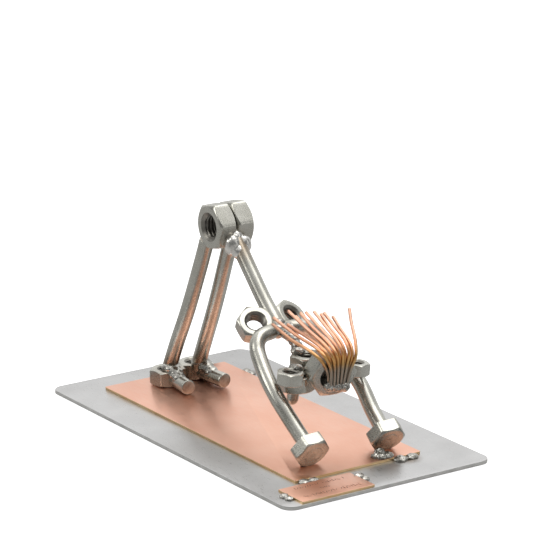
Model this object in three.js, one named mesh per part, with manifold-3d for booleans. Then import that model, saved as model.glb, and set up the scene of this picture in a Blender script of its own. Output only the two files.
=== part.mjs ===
// Figure of a person in a downward-dog pose, welded from steel nuts, rods and bolts,
// standing on a copper mat on a steel base plate. Millimetres, +Z up.
// +X runs from the feet to the hands, +Y is the figure's left.

import * as THREE from 'three';
import { mergeVertices } from 'three/addons/utils/BufferGeometryUtils.js';
import Module from 'manifold-3d';

const wasm = await Module();
wasm.setup();

// sheet parts
const plateLength = 170;
const plateWidth = 93.5;
const plateThickness = 1.5;
const plateCorner = 5;
const matMin = [-71.0, -29.6];
const matMax = [64.8, 28.0];
const matThickness = 1.0;
const matCorner = 0.8;
const plaqueMin = [68.3, -39.7];
const plaqueMax = [84.4, -7.5];
const plaqueThickness = 0.9;

// stock
const rodDiameter = 6.0;
const rodSides = 12;
const wireDiameter = 1.05;
const clearance = 0.3;

// heights that follow from the sheets
const plateTop = plateThickness;
const matTop = plateTop + matThickness;

// hexagon nuts by thread size: across flats, height, bore and countersink
const nutM10 = { flats: 17, height: 7.6, bore: 9.2, sink: 11.6, sides: 18 };
const nutM10Hair = { flats: 17, height: 8.0, bore: 9.2, sink: 10.8, sides: 18 };
const nutM8 = { flats: 13, height: 6.4, bore: 7.0, sink: 8.7, sides: 15 };
const nutM6 = { flats: 9.8, height: 5.0, bore: 5.2, sink: 6.6, sides: 12 };
const boltHead = { flats: 12.8, height: 5.3, bore: 0, sink: 0, sides: 18 };

// materials
const brushedSheet = new THREE.MeshStandardMaterial({ color: 0xa3a4a5, roughness: 0.45, metalness: 0.9 });
const satinSteel = new THREE.MeshStandardMaterial({ color: 0x8f8f88, roughness: 0.35, metalness: 1.0 });
const weldSteel = new THREE.MeshStandardMaterial({ color: 0xb3b2ab, roughness: 0.3, metalness: 1.0 });
const bareCopper = new THREE.MeshStandardMaterial({ color: 0xdc9878, roughness: 0.4, metalness: 0.9 });
const wireCopper = new THREE.MeshStandardMaterial({ color: 0xc98a66, roughness: 0.35, metalness: 0.9 });

// ---------- solids ----------

// Makes a closed body from a three.js geometry, with its faces turned outward.
function solidOf(geometry) {
  const bare = geometry.clone();
  bare.deleteAttribute('normal');
  bare.deleteAttribute('uv');
  const merged = mergeVertices(bare, 1e-4);
  const places = merged.getAttribute('position').array;
  const corners = merged.index.array;
  const kept = [];
  for (let i = 0; i < corners.length; i += 3) {
    const [a, b, c] = [corners[i], corners[i + 1], corners[i + 2]];
    if (a !== b && b !== c && c !== a) {
      kept.push(a, b, c);
    }
  }
  if (signedVolume(places, kept) < 0) {
    for (let i = 0; i < kept.length; i += 3) {
      const swap = kept[i + 1];
      kept[i + 1] = kept[i + 2];
      kept[i + 2] = swap;
    }
  }
  return new wasm.Manifold(new wasm.Mesh({
    numProp: 3,
    vertProperties: new Float32Array(places),
    triVerts: new Uint32Array(kept),
  }));
}

function signedVolume(places, corners) {
  const a = new THREE.Vector3();
  const b = new THREE.Vector3();
  const c = new THREE.Vector3();
  let volume = 0;
  for (let i = 0; i < corners.length; i += 3) {
    a.fromArray(places, corners[i] * 3);
    b.fromArray(places, corners[i + 1] * 3);
    c.fromArray(places, corners[i + 2] * 3);
    volume += a.dot(b.cross(c)) / 6;
  }
  return volume;
}

function geometryOf(solid) {
  const mesh = solid.getMesh();
  const geometry = new THREE.BufferGeometry();
  geometry.setAttribute('position', new THREE.BufferAttribute(mesh.vertProperties, 3));
  geometry.setIndex(new THREE.BufferAttribute(mesh.triVerts, 1));
  return geometry;
}

// A sheet with rounded corners, lying flat with its underside at height z.
function sheet([x0, y0], [x1, y1], thickness, corner, z) {
  const outline = new THREE.Shape();
  outline.moveTo(x0 + corner, y0);
  outline.lineTo(x1 - corner, y0);
  outline.absarc(x1 - corner, y0 + corner, corner, -Math.PI / 2, 0);
  outline.lineTo(x1, y1 - corner);
  outline.absarc(x1 - corner, y1 - corner, corner, 0, Math.PI / 2);
  outline.lineTo(x0 + corner, y1);
  outline.absarc(x0 + corner, y1 - corner, corner, Math.PI / 2, Math.PI);
  outline.lineTo(x0, y0 + corner);
  outline.absarc(x0 + corner, y0 + corner, corner, Math.PI, 1.5 * Math.PI);
  const body = new THREE.ExtrudeGeometry(outline, { depth: thickness, bevelEnabled: false, curveSegments: corner > 1 ? 6 : 2 });
  body.translate(0, 0, z);
  return solidOf(body);
}

// A turned body about Z from a profile of [radius, z] pairs that starts and ends on the axis.
function turned(profile, sides) {
  const points = profile.map(([radius, z]) => new THREE.Vector2(radius, z));
  const body = new THREE.LatheGeometry(points, sides);
  body.rotateX(Math.PI / 2);
  return solidOf(body);
}

// A hexagon with chamfered corners. The outer face is at z = 0, a corner points along +X.
function hexagonBody({ flats, height, sides }, bothEnds) {
  const reach = flats / Math.sqrt(3);
  const outline = new THREE.Shape();
  outline.moveTo(reach, 0);
  for (let k = 1; k < 6; k += 1) {
    outline.lineTo(reach * Math.cos(k * Math.PI / 3), reach * Math.sin(k * Math.PI / 3));
  }
  const body = new THREE.ExtrudeGeometry(outline, { depth: height, bevelEnabled: false });
  body.translate(0, 0, -height);
  const flat = flats * 0.475;
  const wide = reach + 0.4;
  const drop = (wide - flat) * Math.tan(Math.PI / 6);
  const lower = bothEnds ? [[flat, -height], [wide, -height + drop]] : [[wide, -height]];
  const cone = turned([[0, -height], ...lower, [wide, -drop], [flat, 0], [0, 0]], sides);
  return solidOf(body).intersect(cone);
}

// A nut in its own frame. A positive grow makes the same nut larger on every side, as a cutter.
function nut(size, grow = 0) {
  const larger = { ...size, flats: size.flats + 2 * grow, height: size.height + 2 * grow };
  const body = hexagonBody(larger, true);
  const hole = (size.bore - 2 * grow) / 2;
  const mouth = (size.sink - 2 * grow) / 2;
  const slope = mouth - hole;
  const h = larger.height;
  const bore = turned([
    [0, -h - 0.5], [mouth + 0.5, -h - 0.5], [hole, -h + slope],
    [hole, -slope], [mouth + 0.5, 0.5], [0, 0.5],
  ], size.sides);
  return body.subtract(bore).translate([0, 0, grow]);
}

// Puts a body whose frame has its face at z = 0 onto a point, facing a direction.
function placed(solid, centre, facing, cornerToward) {
  const z = new THREE.Vector3(...facing).normalize();
  const x = new THREE.Vector3(...cornerToward);
  x.addScaledVector(z, -x.dot(z)).normalize();
  const y = new THREE.Vector3().crossVectors(z, x);
  const matrix = new THREE.Matrix4().makeBasis(x, y, z);
  matrix.setPosition(...centre);
  return solid.transform(matrix.elements);
}

// A round bar bent along a list of points.
function bar(points, diameter, sides, steps) {
  const route = new THREE.CatmullRomCurve3(points.map((p) => new THREE.Vector3(...p)), false, 'centripetal');
  const section = new THREE.Shape();
  const radius = diameter / 2;
  section.moveTo(radius, 0);
  for (let k = 1; k < sides; k += 1) {
    section.lineTo(radius * Math.cos(2 * k * Math.PI / sides), radius * Math.sin(2 * k * Math.PI / sides));
  }
  return solidOf(new THREE.ExtrudeGeometry(section, { steps, bevelEnabled: false, extrudePath: route }));
}

// A lump of weld metal: a stretched ball with its long axis along a direction.
function lump(centre, along, length, width, height, fine = 1) {
  const ball = new THREE.SphereGeometry(0.5, 6 + 2 * fine, 4 + fine);
  ball.rotateX(Math.PI / 2);
  ball.scale(length, width, height);
  return placed(solidOf(ball), centre, [0, 0, 1], along);
}

// The metal of a tack on a sheet edge: a low lump cut off flat at the sheet it lies on.
function tack(centre, along, length, width, height, sheetTop) {
  const body = lump([centre[0], centre[1], sheetTop], along, length, width, 2 * height, 1);
  return body.trimByPlane([0, 0, 1], sheetTop);
}

function union(bodies) {
  return bodies.reduce((whole, body) => whole.add(body));
}

function without(solid, ...cutters) {
  return cutters.reduce((rest, cutter) => rest.subtract(cutter), solid);
}

// The largest connected piece, so that a cut leaves no crumbs.
function mainPiece(solid) {
  const pieces = solid.decompose();
  return pieces.reduce((best, piece) => (piece.volume() > best.volume() ? piece : best));
}

// ---------- sheets ----------

const plate = sheet(
  [-plateLength / 2, -plateWidth / 2], [plateLength / 2, plateWidth / 2],
  plateThickness, plateCorner, 0,
);
const mat = sheet(matMin, matMax, matThickness, matCorner, plateTop);
const plaque = sheet(plaqueMin, plaqueMax, plaqueThickness, 0.3, plateTop);

// ---------- nuts of the figure ----------

// Each placement is a face centre, the direction that face looks and the way one corner points.
const places = {
  hip_nut_right: { size: nutM10, at: [-26.33, -7.53, 75.6], facing: [-0.025, -1, -0.004], corner: [0.982, 0, 0.19] },
  hip_nut_left: { size: nutM10, at: [-25.94, 8.17, 75.66], facing: [0.025, 1, 0.004], corner: [0.982, 0, 0.19] },
  heel_nut_right: { size: nutM8, at: [-60.4, -6.2, 8.9], facing: [0, 0, 1], corner: [0.607, -0.795, 0] },
  heel_nut_left: { size: nutM8, at: [-62.25, 7.91, 8.9], facing: [0, 0, 1], corner: [0.947, -0.322, 0] },
  chest_nut_right: { size: nutM8, at: [8.2, -8.82, 46.36], facing: [0.627, -0.252, 0.737], corner: [0.271, -0.817, -0.51] },
  chest_nut_left: { size: nutM8, at: [8.0, 8.4, 46.2], facing: [0.627, 0.252, 0.737], corner: [0.271, 0.817, -0.51] },
  neck_nut: { size: nutM8, at: [30.74, 0.08, 37.25], facing: [0, 0, 1], corner: [-0.361, -0.932, 0] },
  face_nut: { size: nutM8, at: [30.43, -5.32, 30.45], facing: [0, 0, 1], corner: [0.351, -0.928, 0] },
  hair_nut: { size: nutM10Hair, at: [47.9, -0.3, 32.9], facing: [0.93, -0.22, -0.29], corner: [0.1, -0.6, 0.8] },
  ear_nut_right: { size: nutM6, at: [39.15, -13.9, 35.3], facing: [0.056, 0.061, 0.997], corner: [0.825, -0.566, 0] },
  ear_nut_left: { size: nutM6, at: [39.6, 15.9, 33.6], facing: [0.026, 0.08, 0.996], corner: [0.984, -0.179, 0] },
};

function nutAt(name, grow = 0) {
  const { size, at, facing, corner } = places[name];
  return placed(nut(size, grow), at, facing, corner);
}

function grownNuts(...names) {
  return names.map((name) => nutAt(name, clearance));
}

const bodies = { base_plate: plate, mat, plaque };
for (const name of Object.keys(places)) {
  bodies[name] = nutAt(name);
}

// ---------- legs and feet ----------

const legRoutes = {
  leg_rod_right: [[-33.9, -4, 66.4], [-35.2, -4, 63.4], [-40.9, -4.5, 49.4], [-46.9, -5, 35.6], [-54.0, -5.5, 21.3], [-59.8, -6.1, 8.2]],
  leg_rod_left: [[-29.2, 4, 66.0], [-30.8, 4, 61.9], [-37.3, 4.5, 47.1], [-43.4, 5, 34.3], [-49.8, 5.5, 22.1], [-57.5, 6.5, 8.2]],
};
const toeRoutes = {
  toe_rod_right: [[-57, -6.2, matTop + 3.2], [-42.4, -7.7, matTop + 3.1]],
  toe_rod_left: [[-57, 7.6, matTop + 3.2], [-41.5, 9.1, matTop + 3.1]],
};

for (const side of ['right', 'left']) {
  const heel = nutAt(`heel_nut_${side}`, clearance);
  const leg = `leg_rod_${side}`;
  const toe = `toe_rod_${side}`;
  bodies[leg] = mainPiece(without(
    bar(legRoutes[leg], rodDiameter, rodSides, 7), ...grownNuts('hip_nut_right', 'hip_nut_left'), heel,
  ));
  const wideLeg = bar(legRoutes[leg], rodDiameter + 2 * clearance, rodSides, 7);
  bodies[toe] = mainPiece(without(bar(toeRoutes[toe], rodDiameter, rodSides, 1), heel, wideLeg));
  const wideToe = bar(toeRoutes[toe], rodDiameter + 2 * clearance, rodSides, 1);
  const y = side === 'right' ? -6.6 : 7.4;
  const metal = union([
    lump([-57.2, y, 10.2], [1, 0, -0.2], 9, 8, 4.4, 2),
    lump([-53.4, y, 8.2], [1, 0, 0], 8, 6.4, 6.2, 2),
  ]);
  bodies[`foot_weld_${side}`] = mainPiece(without(metal, heel, wideLeg, wideToe));
}

// ---------- torso, arms and hands ----------

const torsoRoute = [[-19.2, 0, 71.8], [-17.1, 0, 69.7], [-7.4, 0, 59.7], [0.8, 0, 51.4], [10.0, 0, 43.4], [12.6, 0, 41.3]];
const torso = bar(torsoRoute, rodDiameter, rodSides, 6);
bodies.torso_rod = mainPiece(without(
  torso, ...grownNuts('hip_nut_right', 'hip_nut_left', 'chest_nut_right', 'chest_nut_left'),
));
const wideTorso = bar(torsoRoute, rodDiameter + 2 * clearance, rodSides, 6);

// Each arm is a hexagon bolt with its shank bent twice: its head is the hand.
const armRoutes = {
  arm_bolt_right: [
    [12.6, -1.0, 42.3], [13.4, -5.5, 42.7], [14.4, -10.6, 42.1], [16.2, -13.6, 40.0], [18.3, -14.8, 37.6],
    [21.4, -15.8, 35.4], [29.2, -17.6, 29.9], [36.5, -17.9, 24.0], [43.3, -17.0, 17.8], [53.4, -16.0, 9.6],
  ],
  arm_bolt_left: [
    [12.6, 1.0, 42.3], [13.4, 5.5, 42.7], [14.4, 10.6, 42.1], [16.2, 13.8, 39.8], [18.3, 15.4, 37.2],
    [21.8, 17.0, 34.4], [29.4, 18.9, 28.9], [37.9, 19.2, 23.4], [46.6, 18.6, 15.4], [55.2, 17.7, 9.5],
  ],
};
const hands = {
  arm_bolt_right: { at: [57.17, -16.0, 7.75], facing: [0.868, -0.008, -0.497], corner: [2.88, -4.21, 5.12] },
  arm_bolt_left: { at: [59.1, 17.1, 7.25], facing: [0.814, -0.1, -0.572], corner: [2.81, -4.67, 4.85] },
};

// The head's outer face carries a shallow turned ring and a centre dimple.
function handHead(name) {
  const ring = turned([[0, -0.25], [4.9, -0.25], [5.1, 0.3], [0, 0.3]], 16)
    .subtract(turned([[0, -1], [4.2, -1], [4.2, 1], [0, 1]], 16));
  const dimple = turned([[0, -0.5], [1.2, 0.3], [0, 0.3]], 8);
  const head = hexagonBody(boltHead, false).subtract(ring).subtract(dimple);
  const { at, facing, corner } = hands[name];
  return placed(head, at, facing, corner).trimByPlane([0, 0, 1], matTop + 0.1);
}

const wideArms = {};
for (const name of Object.keys(armRoutes)) {
  const shank = without(
    bar(armRoutes[name], rodDiameter, rodSides, 14),
    wideTorso, ...grownNuts('chest_nut_right', 'chest_nut_left'),
  );
  bodies[name] = mainPiece(shank.add(handHead(name)));
  wideArms[name] = bar(armRoutes[name], rodDiameter + 2 * clearance, rodSides, 14);
}

// ---------- welds of the trunk and head ----------

const hipMetal = union([
  lump([-18.2, -2.2, 70.4], [1, 0, -1], 7, 8, 9, 3),
  lump([-17.4, 2.6, 70.0], [1, 0, -1], 6.5, 7.5, 8, 3),
]);
bodies.hip_weld = mainPiece(without(hipMetal, ...grownNuts('hip_nut_right', 'hip_nut_left'), wideTorso));

const shoulderMetal = union([
  lump([15.0, -2.6, 42.6], [1, 0, -0.6], 7, 6.5, 6.0, 2),
  lump([15.4, 2.4, 42.2], [1, 0, -0.6], 7, 6.5, 6.0, 2),
]);

// The shoulder and neck welds meet at one sloping plane.
const weldPlane = [0.898, 0, -0.439];
const weldPlaneAt = -2.5;
bodies.shoulder_weld = mainPiece(without(
  shoulderMetal.trimByPlane(weldPlane.map((value) => -value), clearance - weldPlaneAt), wideTorso, ...Object.values(wideArms), ...grownNuts('chest_nut_right', 'chest_nut_left'),
));

const neckRoute = [[15.0, -0.5, 43.0], [21.0, -0.8, 41.6], [24.6, -1.0, 39.6], [26.4, -1.4, 37.2]];
const neckMetal = union([
  bar(neckRoute, 4.4, 8, 4),
  lump([25.6, -1.6, 38.0], [1, 0.2, 0], 6, 7, 3.4, 1),
  lump([21.4, -0.8, 41.4], [1, 0, -0.5], 5, 5.6, 5, 1),
]);
bodies.neck_weld = mainPiece(without(
  neckMetal.trimByPlane(weldPlane, weldPlaneAt), nutAt('neck_nut', clearance),
));

// The nose is a short pin with a rounded tip that hangs out of the lower nut.
const noseDiameter = 4.6;
const noseTop = [30.2, -5.35, 29.0];
const noseTip = [28.0, -6.0, 17.6];
const nosePin = turned([
  [0, -11.6], [0.9, -11.35], [1.65, -10.7], [2.15, -9.8], [noseDiameter / 2, -8.8], [noseDiameter / 2, 0], [0, 0],
], 14);
bodies.nose_pin = mainPiece(without(
  placed(nosePin, noseTop, noseTop.map((value, k) => value - noseTip[k]), [1, 0, 0]),
  nutAt('face_nut', clearance),
));

const earMetal = union([
  lump([37.4, -9.4, 35.6], [1, 0.3, 0], 5, 4, 3.6, 1),
  lump([34.6, -9.6, 34.4], [1, 0, 0], 4.4, 4.4, 4, 1),
]);
bodies.ear_weld = mainPiece(without(
  earMetal, ...grownNuts('ear_nut_right', 'hair_nut', 'neck_nut', 'face_nut'),
));

// ---------- hair ----------

// Root, rise, bend and tip of each copper wire, from the right side of the head to the left.
// The roots stand in a weld on the lower rim of the nut's bore.
const wireRoutes = [
  [[48.0, -2.5, 31.5], [49.2, -4.5, 36.8], [49.4, -7.6, 41.4], [44.6, -9.4, 44.1], [34.5, -9.9, 45.4], [20.7, -9.6, 48.3]],
  [[49.3, -2.6, 31.9], [50.6, -3.6, 37.0], [50.8, -5.9, 42.0], [47.3, -6.6, 44.3], [33.8, -7.6, 46.9], [19.9, -8.6, 50.5]],
  [[48.4, -1.1, 31.6], [49.8, -2.4, 37.4], [50.6, -5.0, 43.0], [47.1, -5.7, 45.3], [33.7, -6.2, 47.9], [26.2, -6.4, 49.1]],
  [[49.6, -1.4, 32.0], [51.0, -2.1, 37.0], [52.0, -3.5, 41.8], [49.2, -4.1, 45.2], [36.4, -5.2, 50.2], [25.9, -5.9, 54.2]],
  [[48.6, 0.1, 31.4], [50.3, -0.9, 37.7], [51.2, -2.7, 42.7], [47.3, -3.4, 44.9], [35.1, -4.0, 49.6], [28.5, -4.3, 52.5]],
  [[49.9, -0.1, 31.8], [51.6, -0.9, 38.1], [52.4, -2.2, 43.0], [48.7, -2.6, 46.2], [36.7, -3.0, 50.9], [30.2, -3.2, 54.1]],
  [[48.8, 1.2, 31.3], [50.6, 0.7, 37.5], [51.6, -0.4, 42.7], [49.3, -0.8, 45.9], [37.8, -1.8, 52.0], [32.3, -2.2, 54.7]],
  [[50.1, 1.2, 31.6], [52.2, 0.7, 38.4], [52.4, 0.5, 43.6], [48.6, 0.4, 47.3], [40.6, 0.2, 51.8], [34.5, 0.0, 55.1]],
  [[49.1, 2.6, 31.1], [51.1, 2.4, 37.7], [51.5, 2.3, 42.7], [48.6, 2.3, 46.2], [41.5, 2.1, 50.3], [36.1, 2.0, 54.3]],
  [[50.2, 2.3, 31.2], [52.4, 2.6, 38.4], [52.8, 3.2, 43.0], [49.6, 3.7, 46.8], [42.3, 3.9, 50.6], [35.1, 4.2, 54.0]],
  [[49.2, 3.8, 30.6], [51.4, 4.3, 37.0], [52.6, 4.9, 41.8], [50.4, 5.6, 45.0], [42.8, 6.5, 49.0], [36.1, 7.5, 52.2]],
  [[50.4, 3.7, 30.7], [52.3, 4.5, 36.4], [53.5, 5.8, 41.4], [50.8, 7.6, 45.8], [44.1, 10.3, 52.0], [40.6, 12.0, 55.7]],
];

wireRoutes.forEach((route, index) => {
  bodies[`hair_wire_${String(index + 1).padStart(2, '0')}`] = bar(route, wireDiameter, 6, 7);
});

const rootMetal = union([
  lump([48.0, -2.2, 28.9], [0.3, 1, 0], 5, 4.6, 4.2, 1),
  lump([49.2, 0.8, 28.4], [0.3, 1, 0], 5, 4.8, 4.2, 1),
  lump([50.0, 3.2, 28.2], [0.3, 1, 0], 4.6, 4.6, 4.0, 1),
]);
bodies.hair_root_weld = mainPiece(without(rootMetal, nutAt('hair_nut', clearance)));

// ---------- tacks ----------

const wideHand = placed(
  hexagonBody({ ...boltHead, flats: boltHead.flats + 2 * clearance, height: boltHead.height + 2 * clearance }, false)
    .translate([0, 0, clearance]),
  hands.arm_bolt_left.at, hands.arm_bolt_left.facing, hands.arm_bolt_left.corner,
);
bodies.hand_weld_left = mainPiece(without(
  union([
    tack([62.2, 11.2], [1, 0.6, 0], 7, 5, 2.6, matTop),
    tack([61.6, 15.0], [1, -0.4, 0], 6, 5, 2.2, matTop),
  ]),
  wideHand,
));

// Tacks fix the mat and the plaque to the plate: each lies on the plate against a sheet edge.
const tacks = {
  mat_tack_1: { at: [-72.6, 20.6], along: [0, 1, 0], size: [7, 5, 1.5], sheets: [matMin, matMax] },
  mat_tack_2: { at: [-55.0, 29.4], along: [1, 0, 0], size: [7, 5, 1.5], sheets: [matMin, matMax] },
  mat_tack_3: { at: [66.2, 20.0], along: [0, 1, 0], size: [10, 6, 1.8], sheets: [matMin, matMax] },
  mat_tack_4: { at: [66.0, -24.5], along: [0, 1, 0], size: [8, 4.6, 1.5], sheets: [matMin, matMax] },
  plaque_tack_1: { at: [76.0, -41.0], along: [1, 0, 0], size: [6, 4.4, 1.5], sheets: [plaqueMin, plaqueMax] },
  plaque_tack_2: { at: [74.0, -6.2], along: [1, 0, 0], size: [7, 5, 1.7], sheets: [plaqueMin, plaqueMax] },
};
for (const [name, { at, along, size, sheets }] of Object.entries(tacks)) {
  const [low, high] = sheets;
  const thickness = sheets[0] === matMin ? matThickness : plaqueThickness;
  const wideSheet = sheet(
    [low[0] - 0.1, low[1] - 0.1], [high[0] + 0.1, high[1] + 0.1], thickness + 0.1, 0.4, plateTop - 0.1,
  );
  bodies[name] = mainPiece(without(tack(at, along, ...size, plateTop), wideSheet));
}

// ---------- scene ----------

const sculpture = new THREE.Group();
sculpture.name = 'downward_dog_figure';
const looks = { base_plate: brushedSheet, mat: bareCopper, plaque: bareCopper };
for (const [name, body] of Object.entries(bodies)) {
  const material = looks[name] ?? (name.includes('weld') || name.includes('tack') ? weldSteel : satinSteel);
  const mesh = new THREE.Mesh(geometryOf(body), material.clone());
  mesh.name = name;
  sculpture.add(mesh);
}

export default sculpture;
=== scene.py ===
# Nuts-and-bolts figure in a downward-dog pose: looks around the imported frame.
import math
import random

import bmesh
import bpy
from mathutils import Matrix, Vector, noise


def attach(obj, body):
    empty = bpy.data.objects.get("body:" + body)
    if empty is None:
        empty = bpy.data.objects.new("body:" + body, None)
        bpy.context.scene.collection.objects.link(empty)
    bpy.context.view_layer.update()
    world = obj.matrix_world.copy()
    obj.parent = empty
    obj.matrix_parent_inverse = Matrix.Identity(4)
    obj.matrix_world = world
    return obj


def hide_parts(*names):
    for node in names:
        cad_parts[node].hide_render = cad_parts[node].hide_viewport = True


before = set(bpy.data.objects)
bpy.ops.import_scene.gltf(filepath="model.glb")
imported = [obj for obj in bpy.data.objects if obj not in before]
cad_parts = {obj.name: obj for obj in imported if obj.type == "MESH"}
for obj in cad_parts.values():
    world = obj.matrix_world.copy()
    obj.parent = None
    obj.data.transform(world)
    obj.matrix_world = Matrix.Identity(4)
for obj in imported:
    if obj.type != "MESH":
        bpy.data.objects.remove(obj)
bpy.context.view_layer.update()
scene = bpy.context.scene
print("frame loaded:", len(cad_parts), "nodes")


def mm(values):
    return Vector(values) / 1000


# ---- camera, floor and light ----

view = {
    "eye": (958.49, -640.51, 396.30),
    "forward": (-0.79747, 0.53571, -0.27759),
    "roll": -0.4067,      # degrees
    "lens": 207.99,
    "sensor": 36,
    "farthest": 20,       # m
}


def aimAt(forward, roll=0.0):
    forward = Vector(forward).normalized()
    right = forward.cross(Vector((0, 0, 1))).normalized()
    up = right.cross(forward)
    across = right * math.cos(roll) + up * math.sin(roll)
    upright = up * math.cos(roll) - right * math.sin(roll)
    return Matrix((across, upright, -forward)).transposed().to_4x4()


cameraData = bpy.data.cameras.new("camera")
cameraData.lens = view["lens"]
cameraData.sensor_width = view["sensor"]
cameraData.clip_end = view["farthest"]
camera = bpy.data.objects.new("camera", cameraData)
aim = aimAt(view["forward"], math.radians(view["roll"]))
camera.matrix_world = Matrix.Translation(mm(view["eye"])) @ aim
scene.collection.objects.link(camera)
scene.camera = camera
scene.view_settings.view_transform = "Standard"

lamps = {
    # name: place in m, target in m, width, height, watts, warmth
    "topBox": ((0.15, 0.25, 1.3), (0, 0, 0), 0.9, 0.9, 5.0, (1.0, 0.985, 0.95)),
    "leftBox": ((-0.5, -1.3, 0.85), (0, 0, 0.05), 0.55, 0.8, 4.6, (1.0, 0.985, 0.94)),
    "rightBox": ((1.3, 0.9, 0.7), (0, 0, 0.05), 0.4, 0.7, 1.4, (1.0, 0.985, 0.95)),
}
for name, (place, target, width, height, watts, warmth) in lamps.items():
    lampData = bpy.data.lights.new(name, "AREA")
    lampData.shape = "RECTANGLE"
    lampData.size = width
    lampData.size_y = height
    lampData.energy = watts
    lampData.color = warmth
    lamp = bpy.data.objects.new(name, lampData)
    lamp.matrix_world = Matrix.Translation(place) @ aimAt(Vector(target) - Vector(place))
    scene.collection.objects.link(lamp)

# the room: bright behind and above the figure, dark in front of it
room = {
    "back": (-0.78, 0.52, 0.35),
    "wall": {"From Min": 0.25, "From Max": 0.9, "To Min": 0.16, "To Max": 0.95},
    "ceiling": {"From Min": 0.45, "From Max": 0.9, "To Min": 0.0, "To Max": 0.55},
    "tint": (1.0, 0.995, 0.98, 1),
}
world = bpy.data.worlds.new("studio")
world.use_nodes = True
sky = world.node_tree
direction = sky.nodes.new("ShaderNodeTexCoord")
toBack = sky.nodes.new("ShaderNodeVectorMath")
toBack.operation = "DOT_PRODUCT"
toBack.inputs[1].default_value = Vector(room["back"]).normalized()
wall = sky.nodes.new("ShaderNodeMapRange")
upward = sky.nodes.new("ShaderNodeSeparateXYZ")
ceiling = sky.nodes.new("ShaderNodeMapRange")
for share, limits in ((wall, room["wall"]), (ceiling, room["ceiling"])):
    share.interpolation_type = "SMOOTHSTEP"
    for key, value in limits.items():
        share.inputs[key].default_value = value
brightness = sky.nodes.new("ShaderNodeMath")
sky.links.new(direction.outputs["Generated"], toBack.inputs[0])
sky.links.new(toBack.outputs["Value"], wall.inputs["Value"])
sky.links.new(direction.outputs["Generated"], upward.inputs[0])
sky.links.new(upward.outputs["Z"], ceiling.inputs["Value"])
sky.links.new(wall.outputs["Result"], brightness.inputs[0])
sky.links.new(ceiling.outputs["Result"], brightness.inputs[1])
sky.links.new(brightness.outputs[0], sky.nodes["Background"].inputs["Strength"])
sky.nodes["Background"].inputs["Color"].default_value = room["tint"]
scene.world = world
print("camera and lights placed")


# ---- shader groups and materials ----

def newGroup(name, inputs, outputs):
    tree = bpy.data.node_groups.new(name, "ShaderNodeTree")
    for label, kind, value in inputs:
        socket = tree.interface.new_socket(name=label, in_out="INPUT", socket_type=kind)
        if value is not None:
            socket.default_value = value
    for label, kind in outputs:
        tree.interface.new_socket(name=label, in_out="OUTPUT", socket_type=kind)
    return tree, tree.nodes.new("NodeGroupInput"), tree.nodes.new("NodeGroupOutput")


def feedNode(tree, node, links):
    # each socket gets a link or a plain value
    for socket, source in links.items():
        if isinstance(source, bpy.types.NodeSocket):
            tree.links.new(source, node.inputs[socket])
        else:
            node.inputs[socket].default_value = source
    return node


def addNode(tree, kind, links=None, **values):
    node = tree.nodes.new(kind)
    for key, value in values.items():
        setattr(node, key, value)
    return feedNode(tree, node, links or {})


def makeMetalGrain():
    # fine scratches along one way, soft clouds of wear and a height for both
    tree, given, out = newGroup("metalGrain", [
        ("Vector", "NodeSocketVector", None),
        ("Stretch", "NodeSocketVector", (1, 1, 1)),
        ("Fineness", "NodeSocketFloat", 2000.0),
        ("Clouding", "NodeSocketFloat", 120.0),
    ], [("Scratch", "NodeSocketFloat"), ("Cloud", "NodeSocketFloat"), ("Height", "NodeSocketFloat")])
    pulled = addNode(tree, "ShaderNodeVectorMath", {
        0: given.outputs["Vector"], 1: given.outputs["Stretch"],
    }, operation="MULTIPLY")
    scratch = addNode(tree, "ShaderNodeTexNoise", {
        "Vector": pulled.outputs[0], "Scale": given.outputs["Fineness"], "Detail": 3.0, "Roughness": 0.65,
    })
    cloud = addNode(tree, "ShaderNodeTexNoise", {
        "Vector": given.outputs["Vector"], "Scale": given.outputs["Clouding"],
        "Detail": 4.0, "Roughness": 0.55,
    })
    both = addNode(tree, "ShaderNodeMath", {
        0: cloud.outputs["Fac"], 1: 0.6, 2: scratch.outputs["Fac"],
    }, operation="MULTIPLY_ADD")
    tree.links.new(scratch.outputs["Fac"], out.inputs["Scratch"])
    tree.links.new(cloud.outputs["Fac"], out.inputs["Cloud"])
    tree.links.new(both.outputs[0], out.inputs["Height"])
    return tree


def makeHeatTint():
    # 1 at a hot spot, falling to 0 at its reach, with a ragged edge
    tree, given, out = newGroup("heatTint", [
        ("Vector", "NodeSocketVector", None),
        ("Spot", "NodeSocketVector", (0, 0, 0)),
        ("Reach", "NodeSocketFloat", 0.01),
        ("Ragged", "NodeSocketFloat", 0.25),
    ], [("Heat", "NodeSocketFloat")])
    gap = addNode(tree, "ShaderNodeVectorMath", {
        0: given.outputs["Vector"], 1: given.outputs["Spot"],
    }, operation="DISTANCE")
    ratio = addNode(tree, "ShaderNodeMath", {
        0: gap.outputs["Value"], 1: given.outputs["Reach"],
    }, operation="DIVIDE")
    wobble = addNode(tree, "ShaderNodeTexNoise", {
        "Vector": given.outputs["Vector"], "Scale": 420.0, "Detail": 3.0,
    })
    shaky = addNode(tree, "ShaderNodeMath", {
        0: wobble.outputs["Fac"], 1: given.outputs["Ragged"], 2: ratio.outputs[0],
    }, operation="MULTIPLY_ADD")
    heat = addNode(tree, "ShaderNodeMapRange", {
        "Value": shaky.outputs[0], "From Min": 1.15, "From Max": 0.25, "To Min": 0.0, "To Max": 1.0,
    }, interpolation_type="SMOOTHSTEP")
    tree.links.new(heat.outputs["Result"], out.inputs["Heat"])
    return tree


metalGrain = makeMetalGrain()
heatTint = makeHeatTint()


def startMaterial(name):
    material = bpy.data.materials.new(name)
    material.use_nodes = True
    tree = material.node_tree
    shader = tree.nodes["Principled BSDF"]
    place = addNode(tree, "ShaderNodeTexCoord").outputs["Object"]
    return material, tree, shader, place


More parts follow.
